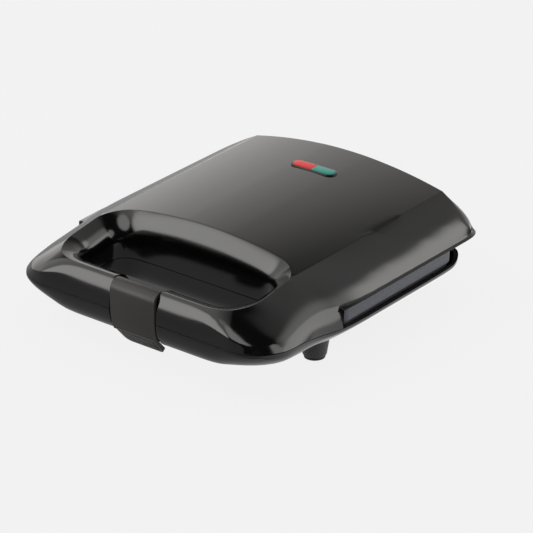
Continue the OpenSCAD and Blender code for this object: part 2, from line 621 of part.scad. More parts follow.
module stadium(hl, hw, z0, z1) {
    box3(-(hl - hw), hl - hw, lens_mid_y - hw, lens_mid_y + hw, z0, z1);
    for (s = [-1, 1]) translate([s * (hl - hw), lens_mid_y, z0]) cylinder(r = hw, h = z1 - z0);
}
function arc(cx, cy, r, a0, a1, n) = [for (k = [0:n]) let (a = lerp(a0, a1, k / n))
    [cx + r * cos(a), cy + r * sin(a)]];
function rounded(x0, x1, y0, y1, r) = concat(
    arc(x1 - r, y1 - r, r, 0, 90, 5), arc(x0 + r, y1 - r, r, 90, 180, 5),
    arc(x0 + r, y0 + r, r, 180, 270, 5), arc(x1 - r, y0 + r, r, 270, 360, 5));
module sheet(points, z0, z1) translate([0, 0, z0]) linear_extrude(z1 - z0) polygon(points);
module at_feet() both() {
    translate([half_w - foot_in, off(foot_front), 0]) children();
    translate([half_w - rear_foot_in, off(base_back - foot_back), 0]) children();
}

// ---- Cooking plates ----
plate_front = gap_y + 0.6;
plate_back = off(base_back) - wall - rear_room;
plate_top = part_z + 0.2;               // mating face of the lower plate
mid_z = plate_top + plate_gap / 2;
slab_z = plate_top - plate_t;
lower_plate_half = half_w - wall - 1.6;
upper_plate_half = half_w - 2;
upper_inset = 1;                        // step between the sealing border and the outer edge
rib_w = 16;                             // bridge between the left and right pockets
pocket_y0 = plate_front + border_w;
pocket_y1 = plate_back - border_w;
pocket_x0 = rib_w / 2;
pocket_x1 = lower_plate_half - 5;
pan_wall = 2.2;
draft = 4;                              // how far a pocket's wall leans in
span_x = pocket_x1 - pocket_x0;
span_y = pocket_y1 - pocket_y0;
diagonal = norm([span_x, span_y]);
ridge_dx = ridge_w / 2 * diagonal / span_y;
ridge_dy = ridge_w / 2 * diagonal / span_x;
front_pocket = [[pocket_x0 + ridge_dx, pocket_y0], [pocket_x1, pocket_y0],
    [pocket_x1, pocket_y1 - ridge_dy]];
back_pocket = [[pocket_x0, pocket_y0 + ridge_dy], [pocket_x1 - ridge_dx, pocket_y1],
    [pocket_x0, pocket_y1]];
// A triangle moved in by d on all its sides
function inset(t, d) =
    let (
        a = norm(t[1] - t[2]), b = norm(t[0] - t[2]), c = norm(t[0] - t[1]),
        centre = (a * t[0] + b * t[1] + c * t[2]) / (a + b + c),
        h = (a + b + c) / 2,
        r = sqrt((h - a) * (h - b) * (h - c) / h)
    ) [for (p = t) centre + (p - centre) * (r - d) / r];
module frustum(low, z0, high, z1) {
    points = concat([for (p = low) [p[0], p[1], z0]], [for (p = high) [p[0], p[1], z1]]);
    polyhedron(points, [[0, 1, 2], [5, 4, 3], [0, 3, 4, 1], [1, 4, 5, 2], [2, 5, 3, 0]]);
}
module pan(t) frustum(inset(t, draft - pan_wall), plate_top - pocket_h - pan_wall,
    inset(t, -pan_wall), slab_z + 0.01);
module pan_hollow(t) frustum(inset(t, draft), plate_top - pocket_h,
    inset(t, -draft / pocket_h), plate_top + 1);
post_ys = [pocket_y0 + 20, pocket_y1 - 14];
post_r = 4;
screw_r = 2;
module plate_screw_holes() for (y = post_ys) translate([0, y, slab_z - 1]) {
    cylinder(r = screw_r + running, h = plate_t + 2);
    translate([0, 0, 1 + plate_t - 1.4]) cylinder(r = 3.9, h = 3);
}
module plate_body(half, skirt) difference() {
    union() {
        sheet(rounded(-half, half, plate_front, plate_back, 7), slab_z, plate_top);
        difference() {
            sheet(rounded(-half, half, plate_front, plate_back, 7), skirt, slab_z + 0.01);
            sheet(rounded(pan_wall - half, half - pan_wall, plate_front + pan_wall,
                plate_back - pan_wall, 5), skirt - 1, slab_z + 1);
        }
        both() {
            pan(front_pocket);
            pan(back_pocket);
        }
    }
    both() {
        pan_hollow(front_pocket);
        pan_hollow(back_pocket);
    }
    plate_screw_holes();
}
module lower_plate() color("#35353a") plate_body(lower_plate_half, part_z - 4);
module turned_over() translate([0, 0, 2 * mid_z]) mirror([0, 0, 1]) children();
module upper_plate() color("#6b6f75") turned_over() difference() {
    plate_body(upper_plate_half, 2 * mid_z - (part_z + rim_h - fit));
    // the edge outside the sealing border stands back from the lower plate
    difference() {
        sheet(rounded(-half_w, half_w, plate_front - 1, plate_back + 1, 7), plate_top - upper_inset,
            plate_top + 1);
        sheet(rounded(3 - upper_plate_half, upper_plate_half - 3, plate_front + 3, plate_back - 3, 5),
            plate_top - upper_inset - 1, plate_top + 2);
    }
}

// ---- Heating elements, heat shields and what carries the plates ----
element_r = element_dia / 2;
element_z = slab_z - 2.2 - element_r;
element_turn = 18;                      // radius of the bend at the front
slope = atan2(span_x, span_y);          // half the angle of the V
v_y = pocket_y0 - pocket_x0 / tan(slope);
element_end_x = pocket_x1 - 13;
element_end = [element_end_x, v_y + element_end_x / tan(slope), element_z];
bend_y = v_y + element_turn / sin(slope);
lead_z = part_z - 12.5;
end_bend = [for (a = [0:22.5:90]) element_end + [
    4 * (sin(a) - 1) * sin(slope), 4 * (sin(a) - 1) * cos(slope), 4 * (cos(a) - 1)]];
element_half = concat(
    [for (a = [0:12:48]) if (a < 90 - slope)
        [element_turn * sin(a), bend_y - element_turn * cos(a), element_z]],
    [[element_turn * cos(slope), bend_y - element_turn * sin(slope), element_z]],
    end_bend, [[element_end[0], element_end[1], lead_z]]);
element_path = concat(
    [for (k = [len(element_half) - 1:-1:1]) [-element_half[k][0], element_half[k][1], element_half[k][2]]],
    element_half);
module element() tube(element_path, element_r, 12);
module lower_element() color("#8d8f8c") element();
module upper_element() color("#8d8f8c") turned_over() element();

belly_z = part_z - belly_drop;
shield_z = belly_z + wall + 2.6;
shield_t = 0.8;
shield_half = pocket_x1 - 22;
module shield() difference() {
    union() {
        sheet(rounded(-shield_half, shield_half, plate_front + 4, plate_back - 4, 6), shield_z,
            shield_z + shield_t);
        difference() {
            sheet(rounded(-shield_half, shield_half, plate_front + 4, plate_back - 4, 6), shield_z,
                shield_z + 3);
            sheet(rounded(shield_t - shield_half, shield_half - shield_t, plate_front + 4 + shield_t,
                plate_back - 4 - shield_t, 5.2), shield_z - 1, shield_z + 4);
        }
    }
    for (y = post_ys) translate([0, y, shield_z - 1]) cylinder(r = post_r + fit, h = 6);
    at_feet() translate([0, 0, shield_z - 1]) cylinder(r = 6, h = 6);
}
module lower_reflector() color("#b9bbbd") shield();
module upper_reflector() color("#b9bbbd") turned_over() shield();

module post(y, z0, z1) translate([0, y, z0]) difference() {
    cylinder(r = post_r, h = z1 - z0);
    translate([0, 0, z1 - z0 - 10]) cylinder(r = screw_r + running, h = 11);
}
module lower_posts() color("#8b8f92") for (y = post_ys) post(y, belly_z + wall - bite, slab_z);
module upper_posts() color("#8b8f92") for (y = post_ys)
    turned_over() post(y, 2 * mid_z - (panel_z(0, y) - wall + bite), slab_z);
module plate_screw() difference() {
    union() {
        translate([0, 0, plate_top - 1.4]) cylinder(r = 3.6, h = 1.2);
        translate([0, 0, slab_z - 9]) cylinder(r = screw_r, h = plate_t + 9 - 1.3);
    }
    for (a = [0, 90]) rotate([0, 0, a]) box3(-2.2, 2.2, -0.35, 0.35, plate_top - 0.9, plate_top + 1);
}
module lower_screws() color("#a8aaab") for (y = post_ys) translate([0, y, 0]) plate_screw();
module upper_screws() color("#a8aaab") turned_over() for (y = post_ys) translate([0, y, 0]) plate_screw();

// ---- Inner covers ----
cover_t = 1.6;
nose_in = wall + 3.2;                   // inset of the covers from the housings' outline
cover_half = nose_half - nose_in;
module front_cover(z0, h) difference() {
    sheet(concat(
        arc(nose_half - nose_r, lip_y + nose_r, nose_r - nose_in, 270, 360, 6),
        [[cover_half, plate_front - 1], [-cover_half, plate_front - 1]],
        arc(nose_r - nose_half, lip_y + nose_r, nose_r - nose_in, 180, 270, 6)
    ), z0, z0 + h);
    sheet(rounded(-(grip_w / 2 + wall + fit), grip_w / 2 + wall + fit, off(bar_d - wall - fit),
        off(grip_back + wall + fit), grip_r + wall), z0 - 1, z0 + h + 1);
    box3(-(channel_half + 8), channel_half + 8, off(0), off(bar_d), z0 - 1, z0 + h + 1);
}
module lower_front_cover() color("#1d1d1d") front_cover(part_z - 3, cover_t);
module upper_front_cover() color("#1d1d1d") front_cover(part_z + part_gap + 1.2, cover_t);

hinge_z = part_z + hinge_h;
axis_y = off(base_back - hinge_in);
knuckle = 11.2;                         // width of the lid's knuckle between the two ears
ear = 4;
harness_x = 25;
harness_y = axis_y - 9.5;
module rear_cover(back, corner, half, z0) difference() {
    sheet([[-half, plate_back + 0.8], [half, plate_back + 0.8], [half, back - 0.6 * corner],
        [half - 0.8 * corner, back], [0.8 * corner - half, back], [-half, back - 0.6 * corner]],
        z0, z0 + cover_t);
    both() box3(hinge_x - knuckle / 2 - ear - 1, hinge_x + knuckle / 2 + ear + 1, axis_y - barrel_r - 1,
        axis_y + barrel_r + 1, z0 - 1, z0 + cover_t + 1);
    translate([harness_x, harness_y, z0 - 1]) cylinder(r = sleeve_r + 2 * fit, h = cover_t + 2);
}
module lower_rear_cover() color("#1d1d1d")
    rear_cover(off(base_back) - wall - 1.2, base_r, half_w - 8, part_z - 3.4);
module upper_rear_cover() color("#1d1d1d")
    rear_cover(back_y - wall - 4, back_r, half_w - 10, hinge_z + barrel_r + 1.6);

// ---- Hinges ----
pin_hole_r = hinge_pin_dia / 2 + running;
module barrel(x0, x1) difference() {
    translate([x0, axis_y, hinge_z]) rotate([0, 90, 0]) cylinder(r = barrel_r, h = x1 - x0);
    translate([x0 - 1, axis_y, hinge_z]) rotate([0, 90, 0]) cylinder(r = pin_hole_r, h = x1 - x0 + 2);
}
ear_in = hinge_x - knuckle / 2 - 0.4;
ear_out = hinge_x + knuckle / 2 + 0.4;
bracket_y1 = off(base_back) - wall - 0.4;
bracket_z = part_z - 6;
module hinge_brackets() color("#1f1f1f") both() {
    for (x = [ear_in - ear, ear_out]) {
        barrel(x, x + ear);
        difference() {
            box3(x, x + ear, axis_y - barrel_r, bracket_y1, bracket_z, hinge_z);
            translate([x - 1, axis_y, hinge_z]) rotate([0, 90, 0]) cylinder(r = barrel_r - 0.4, h = ear + 2);
        }
    }
    box3(ear_in - ear, ear_out + ear, axis_y - barrel_r - 4, bracket_y1, bracket_z - 2.4, bracket_z);
}
arm_top = panel_z(hinge_x, axis_y) - wall + bite;
module hinge_arms() color("#1f1f1f") both() {
    barrel(ear_in + 0.4, ear_out - 0.4);
    difference() {
        box3(ear_in + 0.4, ear_out - 0.4, axis_y - barrel_r, axis_y + barrel_r - 3.6, hinge_z,
            arm_top - 0.6);
        translate([ear_in, axis_y, hinge_z]) rotate([0, 90, 0]) cylinder(r = barrel_r - 0.4, h = knuckle + 1);
    }
    box3(ear_in - 2, ear_in + 6, axis_y - barrel_r - 2, axis_y + 3, arm_top - 3, arm_top + 0.5);
}
module hinge_pins() color("#a8aaab") both()
    translate([ear_in - ear - 0.6, axis_y, hinge_z]) rotate([0, 90, 0])
        cylinder(r = hinge_pin_dia / 2, h = knuckle + 0.8 + 2 * ear + 1.2);

// ---- Clip ----
clip_half = clip_w / 2;
pivot = [off(clip_r), lid_top_z - 7.4];
lug = 4;
lug_x = 7;
clip_in = clip_r - clip_t;
clip_face = [[off(0), part_z], [off(0.6), part_z - 6], [off(1.7), part_z - 10.5], [off(3.2), part_z - 14.6]];
tab_dir = [9.2, -10.6] / norm([9.2, -10.6]);
function turn_in(d) = [-d[1], d[0]] / norm(d);
clip_inner = [for (k = [3:-1:0]) clip_face[k]
    + clip_t * turn_in(k == 3 ? clip_face[3] - clip_face[2] : clip_face[k + 1] - clip_face[max(0, k - 1)])];
clip_profile = concat(
    arc(pivot[0], pivot[1], clip_r, 30, 180, 15), clip_face, clip_inner,
    arc(pivot[0], pivot[1], clip_in, 180, 30, 12));
module clip_tab() translate([0, clip_face[3][0], clip_face[3][1]])
    rotate([atan2(tab_dir[1], tab_dir[0]), 0, 0]) {
    linear_extrude(clip_t) polygon(concat([[tab_w / 2, -1.2], [tab_w / 2, tab_l - 5]],
        arc(tab_w / 2 - 5, tab_l - 5, 5, 0, 90, 6), arc(5 - tab_w / 2, tab_l - 5, 5, 90, 180, 6),
        [[-tab_w / 2, -1.2]]));
    for (k = [0:4]) box3(3 - tab_w / 2, tab_w / 2 - 3, 2.2 + k * 2.2, 3.2 + k * 2.2, -0.6, 0.1);
}
module latch_clip() color("#444240") {
    along_x(-clip_half, clip_half) polygon(clip_profile);
    clip_tab();
    both() difference() {
        union() {
            translate([lug_x, pivot[0], pivot[1]]) rotate([0, 90, 0]) cylinder(r = 3.4, h = lug);
            box3(lug_x, lug_x + lug, pivot[0] - clip_in - 0.6, pivot[0], pivot[1] - 2.6, pivot[1] + 2.6);
        }
        translate([lug_x - 1, pivot[0], pivot[1]]) rotate([0, 90, 0])
            cylinder(r = pin_dia / 2 + running, h = lug + 2);
    }
}
latch_pin_half = lug_x + 2 * lug + 1;
module latch_pin() color("#a8aaab") translate([-latch_pin_half, pivot[0], pivot[1]]) rotate([0, 90, 0])
    cylinder(r = pin_dia / 2, h = 2 * latch_pin_half);
carrier_y0 = off(12);
carrier_y1 = off(bar_d) - wall - 2 * fit;
carrier_z0 = part_z + 3.2;
module latch_carrier() color("#1d1d1d") difference() {
    union() {
        both() for (x = [lug_x - 0.4 - lug, lug_x + lug + 0.4]) {
            translate([x, pivot[0], pivot[1]]) rotate([0, 90, 0]) cylinder(r = 3.6, h = lug);
            along_x(x, x + lug) polygon([[pivot[0] - 3.4, pivot[1] - 1.2], [pivot[0] + 3.4, pivot[1] + 1.2],
                [carrier_y0 + 4, carrier_z0 + 5], [carrier_y0 - 1, carrier_z0 + 3]]);
        }
        box3(-channel_half - 6, channel_half + 6, carrier_y0 - 1, carrier_y1, carrier_z0, carrier_z0 + 7);
    }
    translate([-latch_pin_half - 1, pivot[0], pivot[1]]) rotate([0, 90, 0])
        cylinder(r = pin_dia / 2 + running, h = 2 * latch_pin_half + 2);
}
module latch_catch() color("#1d1d1d") {
    along_x(-(channel_half - fit), channel_half - fit) polygon([
        [off(3.8), part_z - 0.4], [off(4), part_z - 7], [off(5.4), part_z - 11.4], [off(7.4), part_z - 14],
        [off(10), part_z - 15], [off(12.6), part_z - 15], [off(12.6), part_z - 0.4]]);
    box3(-channel_half - 6, channel_half + 6, off(10), off(18.8), part_z - 10, part_z - 0.6);
}

// ---- Indicator ----
lens_top = panel_z(0, lens_mid_y) + 0.85;
bezel_hl = lens_l / 2 + bezel_w;
bezel_hw = lens_w / 2 + bezel_w;
module lens_bezel() color("#151515") difference() {
    union() {
        stadium(bezel_hl, bezel_hw, lens_top - 1.9, lens_top - 0.4);
        stadium(lens_l / 2 - 1.1, lens_w / 2 - 0.8, lens_top - 6, lens_top - 1.8);
    }
    stadium(lens_l / 2, lens_w / 2, lens_top - 0.75, lens_top + 1);
    stadium(lens_l / 2 - 2, lens_w / 2 - 1.7, lens_top - 7, lens_top + 1);
}
module lens_half(s) intersection() {
    union() {
        stadium(lens_l / 2 - 0.05, lens_w / 2 - 0.05, lens_top - 0.75, lens_top);
        stadium(lens_l / 2 - 2.1, lens_w / 2 - 1.8, lens_top - 8, lens_top - 0.7);
    }
    box3(s < 0 ? -lens_l : 0.1, s < 0 ? -0.1 : lens_l, lens_mid_y - lens_w, lens_mid_y + lens_w,
        lens_top - 10, lens_top + 1);
}
module power_lens() color("#e02020") lens_half(-1);
module ready_lens() color("#00a58c") lens_half(1);
lamp_z = lens_top - 12;
module lamp_holder() color("#2a2a2a") difference() {
    union() {
        box3(-21, 21, lens_mid_y - 4, lens_mid_y + 4, lamp_z - 4, lamp_z - 1.8);
        both() box3(18.6, 21, lens_mid_y - 4, lens_mid_y + 4, lamp_z - 4, panel_z(21, lens_mid_y) - wall);
    }
    both() translate([9, lens_mid_y, lamp_z - 5]) cylinder(r = 1.2, h = 6);
}
module lamps() color("#d8b090") both() translate([9, lens_mid_y, lamp_z - 1.8]) {
    cylinder(r = 2.2, h = 3.4);
    translate([0, 0, 3.4]) sphere(2.2);
}

// ---- Electrics ----
floor_z = belly_z + wall;
wire_z = lead_z - 1.4;                  // wires start under the elements' ends
rear_y = plate_back + 1;
wire_r = 1.2;
wire_x = pocket_x1 - 27;                // where the wires turn in behind the plates
fuse_x0 = 44;                           // the two ends of the thermal fuse, left of the middle
fuse_x1 = 54;
block_x0 = 14;
block_x1 = 38;
thermostat_x = 30;
thermostat_r = 6.5;
module terminal_block() color("#e8e4d8") {
    box3(block_x0, block_x1, rear_y + 1, rear_y + 9, floor_z + 4.6, floor_z + 9);
    for (x = [block_x0 + 4, (block_x0 + block_x1) / 2, block_x1 - 4])
        translate([x, rear_y + 5, floor_z + 9]) cylinder(r = 2, h = 1.4);
}
module thermostat() color("#d9d2c4") translate([-thermostat_x, rear_y + 7.5, floor_z + 8]) {
    cylinder(r = thermostat_r, h = 5);
    translate([0, 0, 5]) cylinder(r = 4.5, h = 2.4);
}
module thermal_fuse() color("#c9b27a") rod([-fuse_x1, rear_y + 5, lead_z], [-fuse_x0, rear_y + 5, lead_z], 2);
wire_start = element_end[1] - 3;
wire_turn = plate_back - 5.6;
touch = 0.2;                            // gap between a wire's end and what it leads to
module lower_wiring() color("#c8c4b8") {
    tube([[element_end_x, wire_start, wire_z], [element_end_x, wire_turn, wire_z],
        [wire_x, rear_y + 3, lead_z], [block_x1 + touch, rear_y + 3, lead_z]], wire_r, 8);
    tube([[-element_end_x, wire_start, wire_z], [-element_end_x, wire_turn, wire_z],
        [-wire_x, rear_y + 5, lead_z], [-fuse_x1 - touch, rear_y + 5, lead_z]], wire_r, 8);
    tube([[touch - fuse_x0, rear_y + 5, lead_z], [-thermostat_x - thermostat_r - 0.5, rear_y + 5, lead_z]],
        wire_r, 8);
}
upper_wire_z = 2 * mid_z - wire_z;
module upper_wiring() color("#c8c4b8") {
    for (s = [-1, 1]) tube([[s * element_end_x, wire_start, upper_wire_z],
        [s * element_end_x, wire_turn, upper_wire_z], [s * wire_x, rear_y + 3, upper_wire_z + 2],
        [harness_x + s * 3, rear_y + 3, upper_wire_z + 2]], wire_r, 8);
    tube([[harness_x - 4, rear_y, upper_wire_z + 5], [12, lens_mid_y + 6, lamp_z - 6],
        [9, lens_mid_y, lamp_z - 5.4]], 0.8, 8);
}
sleeve_r = 3;
sleeve_l = 16;
module harness_sleeve() color("#d8d4c8")
    translate([harness_x, harness_y, part_z - 5]) cylinder(r = sleeve_r, h = sleeve_l);

gland_y0 = off(base_back - 15.8);
gland_y1 = off(base_back - 1);
gland_z = part_z - 17;
nozzle_l = 7;
module cord_gland() color("#191919") difference() {
    union() {
        box3(-gland_w / 2, gland_w / 2, gland_y0, gland_y1, gland_z - 3.8, part_z - 8.4);
        translate([0, gland_y1, gland_z]) rotate([-90, 0, 0]) cylinder(r1 = 4.1, r2 = 3.8, h = nozzle_l);
    }
    translate([0, gland_y0 - 1, gland_z]) rotate([-90, 0, 0])
        cylinder(r = cord_hole / 2, h = gland_y1 + nozzle_l - gland_y0 + 2);
}

// ---- Feet ----
foot_top = foot_dia / 2 + 2.6;
module feet() color("#1f1f1f") at_feet() difference() {
    translate([0, 0, pad_t]) cylinder(r1 = foot_dia / 2, r2 = foot_top, h = shield_z - 0.5 - pad_t);
    translate([0, 0, pad_t - 1]) cylinder(r = 4, h = 5);
    translate([0, 0, pad_t]) cylinder(r = screw_r + running, h = 20);
}
module foot_pads() color("#101010") at_feet() difference() {
    cylinder(r = foot_dia / 2 - 0.8, h = pad_t);
    translate([0, 0, -1]) cylinder(r = 4, h = pad_t + 2);
}
module foot_screws() color("#a8aaab") at_feet() {
    translate([0, 0, pad_t + 1.6]) cylinder(r = 3.5, h = 2.4);
    translate([0, 0, pad_t + 3.9]) cylinder(r = screw_r, h = shield_z - pad_t - 5);
}

lid_shell();
base_shell();
lower_plate();
upper_plate();
lower_element();
upper_element();
lower_reflector();
upper_reflector();
lower_posts();
upper_posts();
lower_screws();
upper_screws();
lower_front_cover();
upper_front_cover();
lower_rear_cover();
upper_rear_cover();
hinge_brackets();
hinge_arms();
hinge_pins();
latch_clip();
latch_pin();
latch_carrier();
latch_catch();
lens_bezel();
power_lens();
ready_lens();
lamp_holder();
lamps();
thermostat();
thermal_fuse();
terminal_block();
lower_wiring();
upper_wiring();
harness_sleeve();
cord_gland();
feet();
foot_pads();
foot_screws();
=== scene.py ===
import json
import math

import bmesh
import bpy
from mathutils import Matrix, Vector

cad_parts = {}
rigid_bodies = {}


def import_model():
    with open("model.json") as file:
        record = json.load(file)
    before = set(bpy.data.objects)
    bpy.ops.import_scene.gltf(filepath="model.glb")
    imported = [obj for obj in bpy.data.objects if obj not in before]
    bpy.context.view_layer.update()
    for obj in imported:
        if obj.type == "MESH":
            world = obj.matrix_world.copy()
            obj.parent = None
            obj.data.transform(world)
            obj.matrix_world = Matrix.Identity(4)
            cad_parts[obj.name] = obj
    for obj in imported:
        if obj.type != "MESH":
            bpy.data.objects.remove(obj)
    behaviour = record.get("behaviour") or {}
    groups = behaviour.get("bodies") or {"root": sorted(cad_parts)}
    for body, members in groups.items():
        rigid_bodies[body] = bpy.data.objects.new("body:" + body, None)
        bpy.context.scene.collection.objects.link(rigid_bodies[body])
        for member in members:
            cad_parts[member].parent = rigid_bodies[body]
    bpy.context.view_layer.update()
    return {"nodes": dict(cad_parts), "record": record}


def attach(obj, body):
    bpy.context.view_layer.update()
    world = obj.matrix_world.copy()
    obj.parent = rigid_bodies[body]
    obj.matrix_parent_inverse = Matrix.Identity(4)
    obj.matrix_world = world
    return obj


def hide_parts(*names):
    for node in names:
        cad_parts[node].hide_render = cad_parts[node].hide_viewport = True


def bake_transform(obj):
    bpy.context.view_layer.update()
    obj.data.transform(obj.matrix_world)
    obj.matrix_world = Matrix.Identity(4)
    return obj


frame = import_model()
nodes = frame["nodes"]

# A new Blender file has a cube, a camera and a light of its own, which aren't wanted.
for leftover in list(bpy.data.objects):
    if leftover.type in {"CAMERA", "LIGHT"} or leftover.name == "Cube":
        bpy.data.objects.remove(leftover)
bpy.ops.object.select_all(action="DESELECT")

MM = 0.001

slot_of = {part["node"]: part["material_slot"] for part in frame["record"]["subparts"]}
body_of = {}
for body, members in frame["record"]["behaviour"]["bodies"].items():
    for member in members:
        body_of[member] = body


# ---- Colour and materials ----
GRAIN_DEPTH = 0.4 * MM
GLAZE_ROUGHNESS = 0.1

# Sockets of Blender's Mix node when it mixes two colours.
MIX_SHARE, MIX_FIRST, MIX_SECOND = 0, 6, 7
MIX_RESULT = 2


def linear(hex_colour):
    """An sRGB hex colour as linear values."""
    values = [int(hex_colour[i:i + 2], 16) / 255 for i in (1, 3, 5)]
    return tuple(v / 12.92 if v <= 0.04045 else ((v + 0.055) / 1.055) ** 2.4 for v in values) + (1.0,)


def add_node(tree, kind, links=(), **values):
    """A shader node with its inputs set, and links as (output socket, input name)."""
    node = tree.nodes.new(kind)
    for name, value in values.items():
        key = name.replace("_", " ")
        if key in node.inputs:
            node.inputs[key].default_value = value
        else:
            setattr(node, name, value)
    for socket, name in links:
        tree.links.new(socket, node.inputs[name])
    return node


def new_material(name):
    """An empty node material, with its tree and its output node."""
    material = bpy.data.materials.new(name)
    material.use_nodes = True
    tree = material.node_tree
    tree.nodes.clear()
    return material, tree, add_node(tree, "ShaderNodeOutputMaterial")


def surface(name, colour, roughness, metallic=0.0, coat=0.0, specular=0.5, transmission=0.0, glow=0.0,
            grain=0.0, grain_mm=2.5, mottle=None, mottle_mm=3.0, uneven=0.0, uneven_mm=33.0):
    """The finish of a piece. Grain is a fine relief, mottle is a second colour in clouds, and uneven is
    the share by which the gloss varies. Each has the width of its spots in millimetres. Glow is a painted
    glow: the piece gives off a faint light of its own, though it is no lamp."""
    material, tree, out = new_material(name)
    place = add_node(tree, "ShaderNodeTexCoord").outputs["Object"]

    def spots(width_mm, detail):
        noise = add_node(tree, "ShaderNodeTexNoise", [(place, "Vector")],
                         Scale=1 / (width_mm * MM), Detail=detail)
        return noise.outputs["Fac"]

    shader = add_node(tree, "ShaderNodeBsdfPrincipled", Base_Color=linear(colour), Roughness=roughness,
                      Metallic=metallic, Coat_Weight=coat, Coat_Roughness=GLAZE_ROUGHNESS,
                      Specular_IOR_Level=specular, Transmission_Weight=transmission,
                      Emission_Color=linear(colour), Emission_Strength=glow)
    tree.links.new(shader.outputs["BSDF"], out.inputs["Surface"])
    if grain:
        bump = add_node(tree, "ShaderNodeBump", [(spots(grain_mm, 3.0), "Height")],
                        Strength=grain, Distance=GRAIN_DEPTH)
        tree.links.new(bump.outputs["Normal"], shader.inputs["Normal"])
    if mottle:
        mix = add_node(tree, "ShaderNodeMix", data_type="RGBA")
        mix.inputs[MIX_FIRST].default_value = linear(colour)
        mix.inputs[MIX_SECOND].default_value = linear(mottle)
        tree.links.new(spots(mottle_mm, 4.0), mix.inputs[MIX_SHARE])
        tree.links.new(mix.outputs[MIX_RESULT], shader.inputs["Base Color"])
    if uneven:
        spread = add_node(tree, "ShaderNodeMapRange", [(spots(uneven_mm, 2.0), "Value")],
                          To_Min=roughness * (1 - uneven), To_Max=roughness * (1 + uneven))
        tree.links.new(spread.outputs["Result"], shader.inputs["Roughness"])
    return material


# The real grains are mostly finer than 0.4 mm, which wouldn't show in the picture, so they are drawn as
# coarse as they need to show.
FINISHES = {
    # moulded glossy ABS of the lid: near black, with mirror images whose sharpness varies a little
    "lid_plastic": dict(colour="#060505", roughness=0.13, uneven=0.08),
    # the same of the base, slightly less polished
    "base_plastic": dict(colour="#060606", roughness=0.15, uneven=0.08),
    # moulded satin ABS of the clip: a brownish dark grey with a soft sheen and no mirror images
    "clip_plastic": dict(colour="#2A2827", roughness=0.42, specular=0.4, grain=0.1, grain_mm=0.67),
    # moulded nylon inside the housings: black, dull and finely grained
    "inner_plastic": dict(colour="#161616", roughness=0.5, grain=0.1, grain_mm=0.83),
    # moulded half-gloss ABS round the window: a black rim with a soft highlight
    "bezel_plastic": dict(colour="#0E0D0D", roughness=0.3, grain=0.06, grain_mm=0.67,
                          uneven=0.15, uneven_mm=5),
    # moulded red polycarbonate: a clear red, with a faint painted glow that makes it a little brighter than
    # its surface alone would be
    "red_lens": dict(colour="#C22B27", roughness=0.35, specular=0.25, glow=0.1, uneven=0.15, uneven_mm=3.3),
    # moulded green polycarbonate, likewise, with the same faint painted glow
    "green_lens": dict(colour="#07786B", roughness=0.35, specular=0.25, glow=0.1, uneven=0.15, uneven_mm=3.3),
    # die-cast aluminium with a sprayed non-stick coat: dark grey, with a faint speckle and a soft sheen
    "plate_coating": dict(colour="#232326", roughness=0.45, specular=0.4, grain=0.25, grain_mm=1.1,
                          mottle="#2E2E33", mottle_mm=3.3),
    # die-cast aluminium under a thin coat: a bluish grey, coarser and more cloudy
    "plate_cast": dict(colour="#33363B", roughness=0.5, specular=0.35, grain=0.6, grain_mm=1.4,
                       mottle="#565A61", mottle_mm=1.4),
    # drawn stainless tube, dulled by heat: a warm, blurred metal
    "element_steel": dict(colour="#8E8C86", roughness=0.4, metallic=1.0, grain=0.1),
    # rolled aluminised sheet: a pale, slightly wavy metal
    "sheet_steel": dict(colour="#B4B6B8", roughness=0.35, metallic=1.0, grain=0.08),
    # turned and zinc-plated steel: a bright metal, with fine marks
    "screw_steel": dict(colour="#A9ABAC", roughness=0.3, metallic=1.0, grain=0.08, grain_mm=0.4,
                        uneven=0.2, uneven_mm=1.7),
    # ground steel: the same, more polished
    "pin_steel": dict(colour="#A9ABAC", roughness=0.22, metallic=1.0, grain=0.05, grain_mm=0.4,
                      uneven=0.2, uneven_mm=2.5),
    # glazed steatite: cream, faintly cloudy, under a thin gloss
    "ceramic": dict(colour="#DCD6C6", roughness=0.35, coat=0.3, grain=0.1, grain_mm=0.83,
                    mottle="#CFC7B4", mottle_mm=4),
    # pressed brass: a yellowish metal with a soft shine
    "fuse_metal": dict(colour="#B99A5A", roughness=0.35, metallic=1.0, grain=0.05, grain_mm=0.4,
                       uneven=0.2, uneven_mm=2),
    # woven glass fibre: cream, matt and rough
    "wire_sleeve": dict(colour="#D5D0C2", roughness=0.8, grain=0.5, grain_mm=0.67),
    # blown glass of the neon lamps: clear, with a warm tint
    "lamp_glass": dict(colour="#F0C8A8", roughness=0.08, transmission=0.6, uneven=0.25, uneven_mm=2.5),
    # moulded rubber of the cord's inlet: black and matt
    "gland_rubber": dict(colour="#161616", roughness=0.6, grain=0.15, grain_mm=1.1),
    # softer moulded rubber under the feet: black and chalky
    "pad_rubber": dict(colour="#141414", roughness=0.75, grain=0.2, grain_mm=1.1),
}
MATERIALS = {slot: surface(slot, **finish) for slot, finish in FINISHES.items()}


def paint(obj, slot):
    obj.data.materials.clear()
    obj.data.materials.append(MATERIALS[slot])


for node_name, node_object in nodes.items():
    paint(node_object, slot_of[node_name])


# ---- Finished copies of the CAD pieces ----
WELD_DISTANCE = 0.001 * MM
SMOOTH_BELOW = 35


def only(obj):
    bpy.ops.object.select_all(action="DESELECT")
    obj.select_set(True)
    bpy.context.view_layer.objects.active = obj


